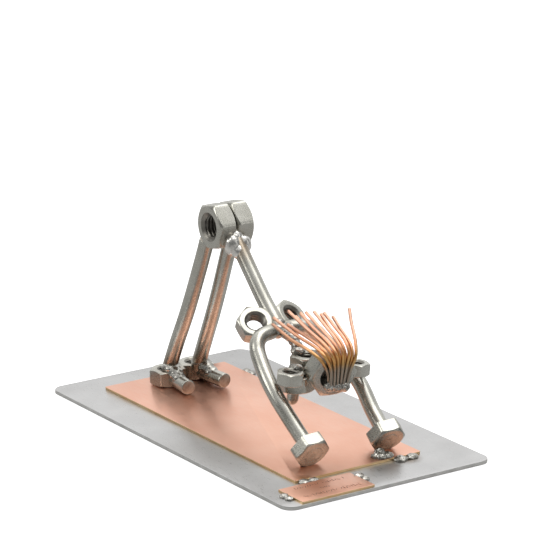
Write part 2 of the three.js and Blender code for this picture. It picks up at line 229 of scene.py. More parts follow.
def groupNode(tree, group, links):
    node = tree.nodes.new("ShaderNodeGroup")
    node.node_tree = group
    return feedNode(tree, node, links)


def colourRamp(tree, source, stops):
    ramp = tree.nodes.new("ShaderNodeValToRGB")
    tree.links.new(source, ramp.inputs["Fac"])
    elements = ramp.color_ramp.elements
    while len(elements) < len(stops):
        elements.new(0.5)
    for element, (at, colour) in zip(elements, stops):
        element.position = at
        element.color = (*colour, 1)
    return ramp.outputs["Color"]


def mixColours(tree, share, first, second, mode="MIX"):
    node = addNode(tree, "ShaderNodeMix", None, data_type="RGBA", blend_type=mode)
    for index, source in ((0, share), (6, first), (7, second)):
        if isinstance(source, bpy.types.NodeSocket):
            tree.links.new(source, node.inputs[index])
        elif index == 0:
            node.inputs[index].default_value = source
        else:
            node.inputs[index].default_value = (*source, 1)
    return node.outputs[2]


def mapTo(tree, source, fromMin, fromMax, toMin, toMax):
    return addNode(tree, "ShaderNodeMapRange", {
        "Value": source, "From Min": fromMin, "From Max": fromMax, "To Min": toMin, "To Max": toMax,
    }).outputs["Result"]


def addBump(tree, shader, height, distance, strength=1.0):
    bump = addNode(tree, "ShaderNodeBump", {"Height": height, "Strength": strength, "Distance": distance})
    tree.links.new(bump.outputs["Normal"], shader.inputs["Normal"])


def metalMaterial(name, look):
    material, tree, shader, place = startMaterial(name)
    shader.inputs["Metallic"].default_value = 1.0
    grain = groupNode(tree, metalGrain, {
        "Vector": place, "Stretch": look["stretch"],
        "Fineness": look["fineness"], "Clouding": look["clouding"],
    })
    colour = colourRamp(tree, grain.outputs["Cloud"], look["colours"])
    for spot, reach, heatColour in look.get("spots", ()):
        heat = groupNode(tree, heatTint, {
            "Vector": place, "Spot": mm(spot), "Reach": reach / 1000, "Ragged": 0.3,
        })
        colour = mixColours(tree, heat.outputs["Heat"], colour, heatColour)
    tree.links.new(colour, shader.inputs["Base Color"])
    low, high = look["roughness"]
    tree.links.new(mapTo(tree, grain.outputs["Scratch"], 0.3, 0.7, low, high), shader.inputs["Roughness"])
    addBump(tree, shader, grain.outputs["Height"], look["relief"] / 1000, 0.8)
    return material


satinSteel = metalMaterial("satinSteel", {
    "stretch": (1, 1, 1), "fineness": 2600.0, "clouding": 130.0, "relief": 0.012,
    "colours": ((0.3, (0.47, 0.465, 0.42)), (0.7, (0.59, 0.585, 0.54))),
    "roughness": (0.22, 0.36),
    "spots": (
        ((-16, 0, 68), 10, (0.34, 0.27, 0.20)),       # below the hip weld
        ((13, 0, 42), 8, (0.34, 0.28, 0.21)),         # at the shoulders
        ((-57, -6, 11), 9, (0.30, 0.23, 0.17)),       # at the ankles
        ((-55, 7, 11), 9, (0.30, 0.23, 0.17)),
    ),
})
# steel for the nut bores, its colour much darker than the body: painted shade inside the recess
threadSteelPaintedShade = metalMaterial("threadSteelPaintedShade", {
    "stretch": (1, 1, 1), "fineness": 2600.0, "clouding": 500.0, "relief": 0.03,
    "colours": ((0.3, (0.20, 0.19, 0.17)), (0.7, (0.34, 0.33, 0.30))),
    "roughness": (0.32, 0.5),
})
cutSteel = metalMaterial("cutSteel", {
    "stretch": (1, 0.12, 1), "fineness": 5200.0, "clouding": 400.0, "relief": 0.10,
    "colours": ((0.3, (0.34, 0.27, 0.22)), (0.7, (0.60, 0.55, 0.49))),
    "roughness": (0.34, 0.55),
})
weldMetal = metalMaterial("weldMetal", {
    "stretch": (1, 1, 1), "fineness": 1500.0, "clouding": 420.0, "relief": 0.05,
    "colours": ((0.32, (0.25, 0.24, 0.22)), (0.52, (0.46, 0.45, 0.42)), (0.7, (0.72, 0.71, 0.67))),
    "roughness": (0.2, 0.36),
})
brightWeld = metalMaterial("brightWeld", {
    "stretch": (1, 1, 1), "fineness": 1500.0, "clouding": 300.0, "relief": 0.05,
    "colours": ((0.3, (0.68, 0.67, 0.64)), (0.6, (0.92, 0.91, 0.88))),
    "roughness": (0.24, 0.38),
})
sheetSteel = metalMaterial("sheetSteel", {
    "stretch": (0.12, 1, 1), "fineness": 2200.0, "clouding": 60.0, "relief": 0.012,
    "colours": ((0.3, (0.56, 0.56, 0.565)), (0.7, (0.64, 0.64, 0.645))),
    "roughness": (0.26, 0.40),
    "spots": (
        ((18, -40, 1.5), 36, (0.48, 0.475, 0.47)),
        ((-73, 21, 1.5), 5, (0.26, 0.20, 0.15)),
        ((-55, 30, 1.5), 5, (0.26, 0.20, 0.15)),
        ((66, 20, 1.5), 8, (0.24, 0.19, 0.15)),
        ((66, -25, 1.5), 5, (0.26, 0.20, 0.15)),
    ),
})
sheetCopper = metalMaterial("sheetCopper", {
    "stretch": (0.15, 1, 1), "fineness": 1800.0, "clouding": 45.0, "relief": 0.014,
    "colours": ((0.3, (0.90, 0.49, 0.35)), (0.7, (0.96, 0.58, 0.44))),
    "roughness": (0.30, 0.44),
    "spots": (
        ((62, 12, 2.5), 9, (0.42, 0.20, 0.12)),
        ((-70, 21, 2.5), 5, (0.45, 0.20, 0.12)),
        ((64, -25, 2.5), 5, (0.50, 0.26, 0.15)),
    ),
})
print("materials ready")


# ---- making of pieces ----

def growRings(bm, count, rings):
    # a loop of points grown ring by ring; each ring is a function from point number to place
    spoke = bm.verts.layers.int.new("spoke")
    loop = bmesh.ops.create_circle(bm, segments=count, radius=1)["verts"]
    for index, vert in enumerate(loop):
        vert[spoke] = index
    edges = list({edge for vert in loop for edge in vert.link_edges})
    firstEdges = edges
    for vert in loop:
        vert.co = rings[0](vert[spoke])
    for ring in rings[1:]:
        grown = bmesh.ops.extrude_edge_only(bm, edges=edges)["geom"]
        loop = {part for part in grown if isinstance(part, bmesh.types.BMVert)}
        for vert in loop:
            vert.co = ring(vert[spoke])
        edges = [part for part in grown
                 if isinstance(part, bmesh.types.BMEdge) and all(vert in loop for vert in part.verts)]
    return firstEdges, edges


def closeRings(bm, firstEdges, lastEdges):
    # both ends of a bar get a flat cap
    caps = []
    for edges in (firstEdges, lastEdges):
        caps += bmesh.ops.contextual_create(bm, geom=edges)["faces"]
    return caps


def finishPiece(name, bm, materials, nodes, sharp):
    # sharp is the angle in degrees over which an edge stays crisp
    bmesh.ops.recalc_face_normals(bm, faces=bm.faces)
    mesh = bpy.data.meshes.new(name)
    bm.to_mesh(mesh)
    bm.free()
    for material in materials:
        mesh.materials.append(material)
    mesh.shade_smooth()
    mesh.set_sharp_from_angle(angle=math.radians(sharp))
    piece = bpy.data.objects.new(name, mesh)
    scene.collection.objects.link(piece)
    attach(piece, "root")
    if nodes:
        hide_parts(*nodes)
    return piece


def poseMatrix(centre, facing, cornerToward):
    z = Vector(facing).normalized()
    x = Vector(cornerToward)
    x = (x - z * x.dot(z)).normalized()
    y = z.cross(x)
    return Matrix.Translation(mm(centre)) @ Matrix((x, y, z)).transposed().to_4x4()


# angles of one sixth of a hexagon, close together at its corners so that they can be eased
sixth = (0.0, 1.0, 2.2, 4.5, 9.0, 15.0, 22.0, 30.0, 38.0, 45.0, 51.0, 55.5, 57.8, 59.0)
spokes = [math.radians(60 * k + a) for k in range(6) for a in sixth]

# shape of a hexagon's rims, in mm, for nuts and bolt heads alike
rim = {
    "faceShare": 0.475,       # radius of the flat face over the size across flats
    "slope": math.tan(math.radians(30)),
    "easeWidth": 1.9,         # degrees from a corner
    "soft": 0.15,             # rounding of the face's own edge
    "dip": 0.02,
    "step": 0.12,             # rounding where the chamfer meets the sides
    "drop": 0.10,
}


def hexReach(angle, flats, ease):
    turn = math.degrees(angle) % 60
    reach = flats / 2 / math.cos(math.radians(turn - 30))
    away = min(turn, 60 - turn)
    return reach - ease * math.exp(-((away / rim["easeWidth"]) ** 2))


def smoothStep(a, b, x):
    t = min(1.0, max(0.0, (x - a) / (b - a)))
    return t * t * (3 - 2 * t)


def ringAt(radius, height):
    # radius and height in mm; either may be a function of the spoke's angle
    def place(index):
        angle = spokes[index]
        r = radius(angle) if callable(radius) else radius
        h = height(angle, r) if callable(height) else height
        return mm((r * math.cos(angle), r * math.sin(angle), h))
    return place


def nutRings(size):
    flats, height, minor, major, sink = (size[key] for key in ("flats", "height", "minor", "major", "sink"))
    pitch = size["pitch"]
    faceRadius = flats * rim["faceShare"]
    mouthDepth = (sink - minor) / 2 * 0.9
    threadFade = pitch * 0.6
    stepsPerTurn, leastSteps, sideSteps, mouthEase = 8, 12, 6, 0.12

    def side(angle):
        return hexReach(angle, flats, size["ease"])

    def innerSide(angle):
        return side(angle) - rim["step"]

    def top(angle, r):
        return -max(0.0, r - faceRadius) * rim["slope"]

    def bottom(angle, r):
        return -height - top(angle, r)

    def wallAt(share):
        # height on the six sides, from just under the top chamfer to just over the bottom one
        def level(angle, r):
            return (top(angle, r) - rim["drop"]) * (1 - share) + (bottom(angle, r) + rim["drop"]) * share
        return level

    def thread(z):
        def radius(angle):
            turn = (z / pitch - angle / (2 * math.pi)) % 1.0
            groove = min(1.0, max(0.0, 1.25 - abs(2 * turn - 1) * 2.0))
            fade = smoothStep(0.0, threadFade, -z) * smoothStep(0.0, threadFade, height + z)
            wall = minor / 2 + (major - minor) / 2 * groove * fade
            mouth = sink / 2 - min(-z, height + z) * (sink - minor) / 2 / mouthDepth
            return max(wall, mouth)
        return radius

    steps = max(leastSteps, round(height / pitch * stepsPerTurn))
    bore = [-height + height * k / steps for k in range(steps + 1)]
    rings = [ringAt(thread(z), z) for z in bore]
    topFace = [(sink / 2 + mouthEase, 0.0), ((sink / 2 + faceRadius) / 2, 0.0),
               (faceRadius - rim["soft"], 0.0), (faceRadius, -rim["dip"])]
    rings += [ringAt(r, z) for r, z in topFace]
    rings.append(ringAt(innerSide, top))
    rings += [ringAt(side, wallAt(k / sideSteps)) for k in range(sideSteps + 1)]
    rings.append(ringAt(innerSide, bottom))
    rings += [ringAt(r, -height - z) for r, z in reversed(topFace)]
    return rings


nutSizes = {
    "M10": {"flats": 17.0, "height": 7.6, "minor": 8.5, "major": 10.0,
        "sink": 11.6, "pitch": 1.5, "ease": 0.16},
    "M10Hair": {"flats": 17.0, "height": 8.0, "minor": 8.5, "major": 10.0,
        "sink": 10.9, "pitch": 1.5, "ease": 0.16},
    "M8": {"flats": 13.0, "height": 6.4, "minor": 6.7, "major": 8.0,
        "sink": 8.9, "pitch": 1.25, "ease": 0.14},
    "M6": {"flats": 9.8, "height": 5.0, "minor": 5.0, "major": 6.0,
        "sink": 6.7, "pitch": 1.0, "ease": 0.12},
}
nutPlaces = {
    "hip_nut_right": ("M10", (-26.33, -7.53, 75.6), (-0.025, -1, -0.004), (0.982, 0, 0.19)),
    "hip_nut_left": ("M10", (-25.94, 8.17, 75.66), (0.025, 1, 0.004), (0.982, 0, 0.19)),
    "heel_nut_right": ("M8", (-60.4, -6.2, 8.9), (0, 0, 1), (0.607, -0.795, 0)),
    "heel_nut_left": ("M8", (-62.25, 7.91, 8.9), (0, 0, 1), (0.947, -0.322, 0)),
    "chest_nut_right": ("M8", (8.2, -8.82, 46.36), (0.627, -0.252, 0.737), (0.271, -0.817, -0.51)),
    "chest_nut_left": ("M8", (8.0, 8.4, 46.2), (0.627, 0.252, 0.737), (0.271, 0.817, -0.51)),
    "neck_nut": ("M8", (30.74, 0.08, 37.25), (0, 0, 1), (-0.361, -0.932, 0)),
    "face_nut": ("M8", (30.43, -5.32, 30.45), (0, 0, 1), (0.351, -0.928, 0)),
    "hair_nut": ("M10Hair", (47.9, -0.3, 32.9), (0.93, -0.22, -0.29), (0.1, -0.6, 0.8)),
    "ear_nut_right": ("M6", (39.15, -13.9, 35.3), (0.056, 0.061, 0.997), (0.825, -0.566, 0)),
    "ear_nut_left": ("M6", (39.6, 15.9, 33.6), (0.026, 0.08, 0.996), (0.984, -0.179, 0)),
}


def makeNut(node):
    kind, centre, facing, corner = nutPlaces[node]
    bm = bmesh.new()
    rings = nutRings(nutSizes[kind])
    first, last = growRings(bm, len(spokes), rings)
    bmesh.ops.bridge_loops(bm, edges=first + last)
    # the bore and its mouth take the darker bore steel, whose dark colour is painted shade
    limit = nutSizes[kind]["sink"] / 2000 - 0.0001
    for face in bm.faces:
        if face.calc_center_median().to_2d().length < limit:
            face.material_index = 1
    bmesh.ops.transform(bm, matrix=poseMatrix(centre, facing, corner), verts=bm.verts)
    return finishPiece(node.replace("_", "-"), bm, (satinSteel, threadSteelPaintedShade), [node], 28)


for node in nutPlaces:
    makeNut(node)
print("nuts made")


# ---- rods ----

def routePoints(points, spacing):
    # centripetal Catmull-Rom through the points, then even steps
    points = [Vector(p) for p in points]
    ends = [points[0] * 2 - points[1]] + points + [points[-1] * 2 - points[-2]]
    fine = []
    for k in range(1, len(ends) - 2):
        p0, p1, p2, p3 = ends[k - 1:k + 3]
        t0 = 0.0
        t1 = t0 + max(1e-4, (p1 - p0).length ** 0.5)
        t2 = t1 + max(1e-4, (p2 - p1).length ** 0.5)
        t3 = t2 + max(1e-4, (p3 - p2).length ** 0.5)
        for step in range(16):
            t = t1 + (t2 - t1) * step / 16
            a1 = p0 * ((t1 - t) / (t1 - t0)) + p1 * ((t - t0) / (t1 - t0))
            a2 = p1 * ((t2 - t) / (t2 - t1)) + p2 * ((t - t1) / (t2 - t1))
            a3 = p2 * ((t3 - t) / (t3 - t2)) + p3 * ((t - t2) / (t3 - t2))
            b1 = a1 * ((t2 - t) / (t2 - t0)) + a2 * ((t - t0) / (t2 - t0))
            b2 = a2 * ((t3 - t) / (t3 - t1)) + a3 * ((t - t1) / (t3 - t1))
            fine.append(b1 * ((t2 - t) / (t2 - t1)) + b2 * ((t - t1) / (t2 - t1)))
    fine.append(points[-1])
    even = [fine[0]]
    travelled = 0.0
    for a, b in zip(fine, fine[1:]):
        travelled += (b - a).length
        if travelled >= spacing:
            even.append(b)
            travelled = 0.0
    if (even[-1] - fine[-1]).length < spacing * 0.5:
        even.pop()
    even.append(fine[-1])
    return even


def barRings(points, diameter, sides, ease=0.35):
    # rings square to the route, carried along it without twist
    tangents = []
    for k in range(len(points)):
        a = points[max(0, k - 1)]
        b = points[min(len(points) - 1, k + 1)]
        tangents.append((b - a).normalized())
    across = tangents[0].orthogonal().normalized()
    stations = []
    for k, (point, tangent) in enumerate(zip(points, tangents)):
        across = (across - tangent * across.dot(tangent)).normalized()
        stations.append((point, tangent, across.copy(), tangent.cross(across), diameter / 2))

    def inward(station, sign, travel, shrink):
        # the end station moved along the bar by a share of ease and made narrower by another
        point, tangent, x, y, radius = station
        return (point + tangent * (sign * ease * travel), tangent, x, y, radius - ease * shrink)

    roundedEdge = ((0.0, 1.0), (0.35, 0.3), (1.0, 0.0))
    head = [inward(stations[0], 1, travel, shrink) for travel, shrink in roundedEdge]
    tail = [inward(stations[-1], -1, travel, shrink) for travel, shrink in reversed(roundedEdge)]

    def ring(station):
        point, tangent, x, y, radius = station

        def place(index):
            angle = 2 * math.pi * index / sides
            return mm(point + x * (radius * math.cos(angle)) + y * (radius * math.sin(angle)))
        return place
    return [ring(station) for station in head + stations[1:-1] + tail]


def makeBar(name, route, diameter, nodes, material,
            sides=32, spacing=1.2, capMaterial=None, ease=0.35):
    bm = bmesh.new()
    first, last = growRings(bm, sides, barRings(routePoints(route, spacing), diameter, sides, ease))
    caps = closeRings(bm, first, last)
    for cap in caps:
        cap.material_index = 1 if capMaterial else 0
    materials = (material, capMaterial) if capMaterial else (material,)
    return finishPiece(name, bm, materials, nodes, 40)


rodDiameter = 6.0
rodSides = 32
rods = {
    "legRight": ("leg_rod_right", [
        (-33.0, -4, 68.6), (-35.2, -4, 63.4), (-40.9, -4.5, 49.4), (-46.9, -5, 35.6), (-54.0, -5.5, 21.3),
        (-58.9, -6.0, 10.2), (-60.0, -6.15, 7.4),
    ]),
    "legLeft": ("leg_rod_left", [
        (-28.2, 4, 68.4), (-30.8, 4, 61.9), (-37.3, 4.5, 47.1), (-43.4, 5, 34.3), (-49.8, 5.5, 22.1),
        (-56.0, 6.3, 11.0), (-57.9, 6.5, 7.4),
    ]),
    "toeRight": ("toe_rod_right", [(-56.5, -6.25, 5.7), (-50.0, -6.9, 5.65), (-42.4, -7.7, 5.6)]),
    "toeLeft": ("toe_rod_left", [(-57.5, 7.6, 5.7), (-50.0, 8.3, 5.65), (-41.5, 9.1, 5.6)]),
    "torso": ("torso_rod", [
        (-20.4, 0, 73.0), (-17.1, 0, 69.7), (-7.4, 0, 59.7), (0.8, 0, 51.4), (10.0, 0, 43.4), (12.9, 0, 41.1),
    ]),
}
for name, (node, route) in rods.items():
    makeBar(name, route, rodDiameter, [node], satinSteel, capMaterial=cutSteel)
print("rods made")


# ---- arms: hexagon bolts with bent shanks ----

arms = {
    "armRight": {
        "node": "arm_bolt_right",
        "route": [
            (11.0, -0.6, 42.4), (13.4, -5.5, 42.7), (14.4, -10.6, 42.1), (16.2, -13.6, 40.0),
            (18.3, -14.8, 37.6), (21.4, -15.8, 35.4), (29.2, -17.6, 29.9), (36.5, -17.9, 24.0),
            (43.3, -17.0, 17.8), (53.4, -16.0, 9.6),
        ],
        "head": ((57.17, -16.0, 7.75), (0.868, -0.008, -0.497), (2.88, -4.21, 5.12)),
    },
    "armLeft": {
        "node": "arm_bolt_left",
        "route": [
            (11.0, 0.6, 42.4), (13.4, 5.5, 42.7), (14.4, 10.6, 42.1), (16.2, 13.8, 39.8),
            (18.3, 15.4, 37.2), (21.8, 17.0, 34.4), (29.4, 18.9, 28.9), (37.9, 19.2, 23.4),
            (46.6, 18.6, 15.4), (55.2, 17.7, 9.5),
        ],
        "head": ((59.1, 17.1, 7.25), (0.814, -0.1, -0.572), (2.81, -4.67, 4.85)),
    },
}
boltHead = {
    "flats": 12.8, "height": 5.3, "ease": 0.16,
    "ringIn": 3.5, "ringOut": 4.15, "ringDepth": 0.12,
    "dimple": ((0.05, -0.28), (0.5, -0.24), (0.95, -0.06), (1.15, 0.0)),
    "neck": ((4.6, 0.0), (3.4, 0.0), (3.0, -0.35), (2.6, -0.4)),      # radius and height under the head
    "lowest": 2.52,       # the lowest corner is ground flat on the mat
}


def headRings(size):
    height, depth = size["height"], size["ringDepth"]
    faceRadius = size["flats"] * rim["faceShare"]
    sideSteps = 5

    def side(angle):
        return hexReach(angle, size["flats"], size["ease"])

    def innerSide(angle):
        return side(angle) - rim["step"]

    def chamfer(angle, r):
        return -max(0.0, r - faceRadius) * rim["slope"]

    def wallAt(share):
        def level(angle, r):
            return (chamfer(angle, r) - rim["drop"]) * (1 - share) + (-height + rim["drop"]) * share
        return level

    face = [
        *size["dimple"], (2.2, 0.0),
        (size["ringIn"] - 0.12, 0.0), (size["ringIn"] + 0.08, -depth),
        (size["ringOut"] - 0.08, -depth), (size["ringOut"] + 0.12, 0.0),
        (5.0, 0.0), (faceRadius - rim["soft"], 0.0), (faceRadius, -rim["dip"]),
    ]
    rings = [ringAt(r, z) for r, z in face]
    rings.append(ringAt(innerSide, chamfer))
    rings += [ringAt(side, wallAt(k / sideSteps)) for k in range(sideSteps + 1)]
    rings.append(ringAt(innerSide, -height))
    rings += [ringAt(r, -height + z) for r, z in size["neck"]]
    return rings


for name, arm in arms.items():
    bm = bmesh.new()
    stations = routePoints(arm["route"], 1.0)
    first, last = growRings(bm, rodSides, barRings(stations, rodDiameter, rodSides, 0.3))
    closeRings(bm, first, last)
    shank = bpy.data.meshes.new("shank")
    bm.to_mesh(shank)
    bm.free()
    bm = bmesh.new()
    first, last = growRings(bm, len(spokes), headRings(boltHead))
    closeRings(bm, first, last)
    bmesh.ops.transform(bm, matrix=poseMatrix(*arm["head"]), verts=bm.verts)
    for vert in bm.verts:
        vert.co.z = max(vert.co.z, boltHead["lowest"] / 1000)
    bm.from_mesh(shank)
    bpy.data.meshes.remove(shank)
    finishPiece(name, bm, (satinSteel,), [arm["node"]], 28)
print("arms made")


# ---- welds ----

def makeLump(name, balls, nodes, settings):
    # balls melted together, then rippled; each ball: centre, long way, length, width, height
    bm = bmesh.new()
    for centre, along, length, width, height in balls:
        turn = poseMatrix(centre, (0, 0, 1), along)
        size = Matrix.Diagonal((length / 2000, width / 2000, height / 2000, 1))
        bmesh.ops.create_icosphere(bm, subdivisions=3, radius=1, matrix=turn @ size)
    rough = bpy.data.meshes.new("rough")
    bm.to_mesh(rough)
    bm.free()
    holder = bpy.data.objects.new("holder", rough)
    scene.collection.objects.link(holder)
    melt = holder.modifiers.new("melt", "REMESH")
    melt.mode = "VOXEL"
    melt.voxel_size = settings.get("voxel", 0.22) / 1000
    soften = holder.modifiers.new("soften", "SMOOTH")
    soften.factor = 0.6
    soften.iterations = settings.get("soften", 4)
    bpy.context.view_layer.update()
    evaluated = holder.evaluated_get(bpy.context.evaluated_depsgraph_get())
    melted = bpy.data.meshes.new_from_object(evaluated)
    bpy.data.objects.remove(holder)
    bm = bmesh.new()
    bm.from_mesh(melted)
    bpy.data.meshes.remove(melted)
    bm.normal_update()
    ripple = settings.get("ripple", 0.12) / 1000
    scale = settings.get("scale", 0.9) * 1000
    pushes = []
    for vert in bm.verts:
        swell = noise.noise(vert.co * scale) + 0.5 * noise.noise(vert.co * scale * 2.3)
        pushes.append(vert.normal * (ripple * swell))
    for vert, push in zip(bm.verts, pushes):
        vert.co += push
    floorAt = settings.get("floor")
    if floorAt is not None:
        for vert in bm.verts:
            vert.co.z = max(vert.co.z, floorAt / 1000)
    metal = settings.get("metal", weldMetal)
    return finishPiece(name, bm, (metal,), nodes, 60)


welds = {
    "hipWeld": (["hip_weld"], [
        ((-17.4, -2.4, 69.6), (1, 0, -1), 7, 6.5, 9), ((-17.0, 2.4, 69.2), (1, 0, -1), 6.5, 6.5, 8),
        ((-18.8, 0, 71.5), (1, 0, -1), 6, 6, 8), ((-15.0, -0.4, 67.2), (1, 0, -1), 6, 7.2, 6.6),
    ], {"ripple": 0.14, "scale": 0.55, "metal": brightWeld}),
    "shoulderWeld": (["shoulder_weld"], [
        ((13.6, -2.6, 42.7), (1, 0, -0.6), 6.6, 6.0, 6.2), ((14.0, 2.4, 42.3), (1, 0, -0.6), 6.6, 6.0, 6.2),
        ((11.6, -0.4, 44.0), (1, 0, -0.8), 5.0, 6.0, 5.6),
    ], {"ripple": 0.18}),
    "neckWeld": (["neck_weld"], [
        ((17.0, -0.6, 42.2), (1, 0, -0.2), 5.0, 5.0, 5.0), ((19.8, -0.7, 41.6), (1, 0, -0.3), 5.0, 4.6, 4.6),
        ((22.4, -0.9, 40.6), (1, 0, -0.5), 4.8, 4.4, 4.4), ((24.6, -1.1, 39.2), (1, 0, -0.8), 4.6, 4.6, 4.2),
        ((26.0, -1.5, 37.8), (1, 0.2, 0), 5.6, 6.4, 3.2),
    ], {"ripple": 0.13}),
    "footWeldRight": (["foot_weld_right"], [
        ((-57.2, -6.6, 10.0), (1, 0, -0.2), 8.4, 7.6, 4.4), ((-53.6, -6.6, 8.2), (1, 0, 0), 7.6, 6.4, 6.0),
        ((-50.6, -6.9, 7.0), (1, 0, 0), 6.0, 6.0, 5.6),
    ], {"ripple": 0.10}),
    "footWeldLeft": (["foot_weld_left"], [
        ((-56.4, 7.0, 10.2), (1, 0, -0.2), 8.0, 7.8, 4.4), ((-53.2, 7.6, 8.2), (1, 0, 0), 7.4, 6.6, 6.0),
        ((-50.4, 8.2, 7.0), (1, 0, 0), 6.0, 6.0, 5.6),
    ], {"ripple": 0.10}),
    "earWeld": (["ear_weld"], [
        ((37.4, -9.6, 35.2), (1, 0.3, 0), 4.6, 3.6, 3.4), ((34.8, -9.6, 34.4), (1, 0, 0), 4.2, 4.2, 3.8),
    ], {"ripple": 0.14}),
    "headWeld": ([], [      # fills the far mouth of the hair nut's bore
        ((40.0, 0.8, 34.6), (1, 0, 0), 5.0, 9.5, 9.5),
    ], {"ripple": 0.18}),
    "hairRootWeld": (["hair_root_weld"], [
        ((48.0, -2.4, 29.6), (0.3, 1, 0), 4.6, 4.2, 4.4), ((48.9, 0.4, 29.2), (0.3, 1, 0), 4.8, 4.4, 4.2),
        ((49.9, 3.0, 29.0), (0.3, 1, 0), 4.6, 4.2, 4.2),
    ], {"ripple": 0.25, "scale": 1.1}),
    "handWeldLeft": (["hand_weld_left"], [
        ((61.6, 10.8, 2.6), (1, 0.6, 0), 6.6, 4.6, 3.6), ((61.8, 14.6, 2.6), (1, -0.4, 0), 5.6, 4.6, 3.0),
        ((59.4, 12.6, 3.2), (1, 0, 0), 4.4, 4.6, 4.4),
    ], {"ripple": 0.3, "scale": 1.2, "floor": 2.51}),
}
tacks = {
    "matTackOne": ("mat_tack_1", (-72.6, 20.6), (0, 1, 0), 6.6, 4.4, 2.6),
    "matTackTwo": ("mat_tack_2", (-55.0, 29.4), (1, 0, 0), 6.6, 4.4, 2.6),
    "matTackThree": ("mat_tack_3", (66.2, 20.0), (0, 1, 0), 9.4, 5.4, 3.2),
    "matTackFour": ("mat_tack_4", (66.0, -24.5), (0, 1, 0), 7.4, 4.2, 2.6),
    "plaqueTackOne": ("plaque_tack_1", (76.0, -41.0), (1, 0, 0), 5.6, 4.0, 2.6),
    "plaqueTackTwo": ("plaque_tack_2", (74.0, -6.2), (1, 0, 0), 6.6, 4.6, 2.8),
}
tackShape = {"apart": 0.28, "share": 0.62, "second": (0.86, 0.9), "middle": 1.6}
tackFinish = {"ripple": 0.22, "scale": 1.1, "floor": 1.51, "soften": 3}
for name, (nodes, balls, settings) in welds.items():
    makeLump(name, balls, nodes, settings)
for name, (node, (x, y), along, length, width, height) in tacks.items():
    # two beads side by side, the second a little smaller
    aside = Vector(along) * length * tackShape["apart"]
    narrower, lower = tackShape["second"]
    bead = length * tackShape["share"]
    balls = [((x - aside.x, y - aside.y, tackShape["middle"]), along, bead, width, height),
             ((x + aside.x, y + aside.y, tackShape["middle"]), along, bead, width * narrower, height * lower)]
    makeLump(name, balls, [node], tackFinish)
print("welds made")


# ---- nose ----

# profile: radius and way down from the top, ending in a rounded tip
nose = {
    "top": (30.2, -5.35, 29.0), "tip": (28.0, -6.0, 17.6), "sides": 32,
    "profile": (
        (2.3, 0.0), (2.3, 4.0), (2.3, 8.8), (2.22, 9.5),
        (1.95, 10.3), (1.45, 11.0), (0.8, 11.45), (0.2, 11.6),
    ),
}
noseWay = (Vector(nose["tip"]) - Vector(nose["top"])).normalized()
noseSide = noseWay.orthogonal().normalized()


def noseRing(radius, down):
    def place(index):
        angle = 2 * math.pi * index / nose["sides"]
        middle = Vector(nose["top"]) + noseWay * down
        out = noseSide * math.cos(angle) + noseWay.cross(noseSide) * math.sin(angle)
        return mm(middle + out * radius)
    return place


bm = bmesh.new()
first, last = growRings(bm, nose["sides"], [noseRing(radius, down) for radius, down in nose["profile"]])
closeRings(bm, first, last)
finishPiece("nosePin", bm, (satinSteel,), ["nose_pin"], 50)


# ---- hair ----

wire = {"diameter": 1.25, "sides": 12, "spacing": 0.8, "ease": 0.12}
wireRoutes = [
    [(48.0, -2.5, 30.0), (49.2, -4.5, 36.8), (49.4, -7.6, 41.4),
     (44.6, -9.4, 44.1), (34.5, -9.9, 45.4), (20.7, -9.6, 48.3)],
    [(49.3, -2.6, 30.0), (50.6, -3.6, 37.0), (50.8, -5.9, 42.0),
     (47.3, -6.6, 44.3), (33.8, -7.6, 46.9), (19.9, -8.6, 50.5)],
    [(48.4, -1.1, 30.0), (49.8, -2.4, 37.4), (50.6, -5.0, 43.0),
     (47.1, -5.7, 45.3), (33.7, -6.2, 47.9), (26.2, -6.4, 49.1)],
    [(49.6, -1.4, 30.0), (51.0, -2.1, 37.0), (52.0, -3.5, 41.8),
     (49.2, -4.1, 45.2), (36.4, -5.2, 50.2), (25.9, -5.9, 54.2)],
    [(48.6, 0.1, 30.0), (50.3, -0.9, 37.7), (51.2, -2.7, 42.7),
     (47.3, -3.4, 44.9), (35.1, -4.0, 49.6), (28.5, -4.3, 52.5)],
    [(49.9, -0.1, 30.0), (51.6, -0.9, 38.1), (52.4, -2.2, 43.0),
     (48.7, -2.6, 46.2), (36.7, -3.0, 50.9), (30.2, -3.2, 54.1)],
    [(48.8, 1.2, 30.0), (50.6, 0.7, 37.5), (51.6, -0.4, 42.7),
     (49.3, -0.8, 45.9), (37.8, -1.8, 52.0), (32.3, -2.2, 54.7)],
    [(50.1, 1.2, 30.0), (52.2, 0.7, 38.4), (52.4, 0.5, 43.6),
     (48.6, 0.4, 47.3), (40.6, 0.2, 51.8), (34.5, 0.0, 55.1)],
    [(49.1, 2.6, 29.6), (51.1, 2.4, 37.7), (51.5, 2.3, 42.7),
     (48.6, 2.3, 46.2), (41.5, 2.1, 50.3), (36.1, 2.0, 54.3)],
    [(50.2, 2.3, 29.6), (52.4, 2.6, 38.4), (52.8, 3.2, 43.0),
     (49.6, 3.7, 46.8), (42.3, 3.9, 50.6), (35.1, 4.2, 54.0)],
    [(49.2, 3.8, 29.2), (51.4, 4.3, 37.0), (52.6, 4.9, 41.8),
     (50.4, 5.6, 45.0), (42.8, 6.5, 49.0), (36.1, 7.5, 52.2)],
    [(50.4, 3.7, 29.2), (52.3, 4.5, 36.4), (53.5, 5.8, 41.4),
     (50.8, 7.6, 45.8), (44.1, 10.3, 52.0), (40.6, 12.0, 55.7)],
]


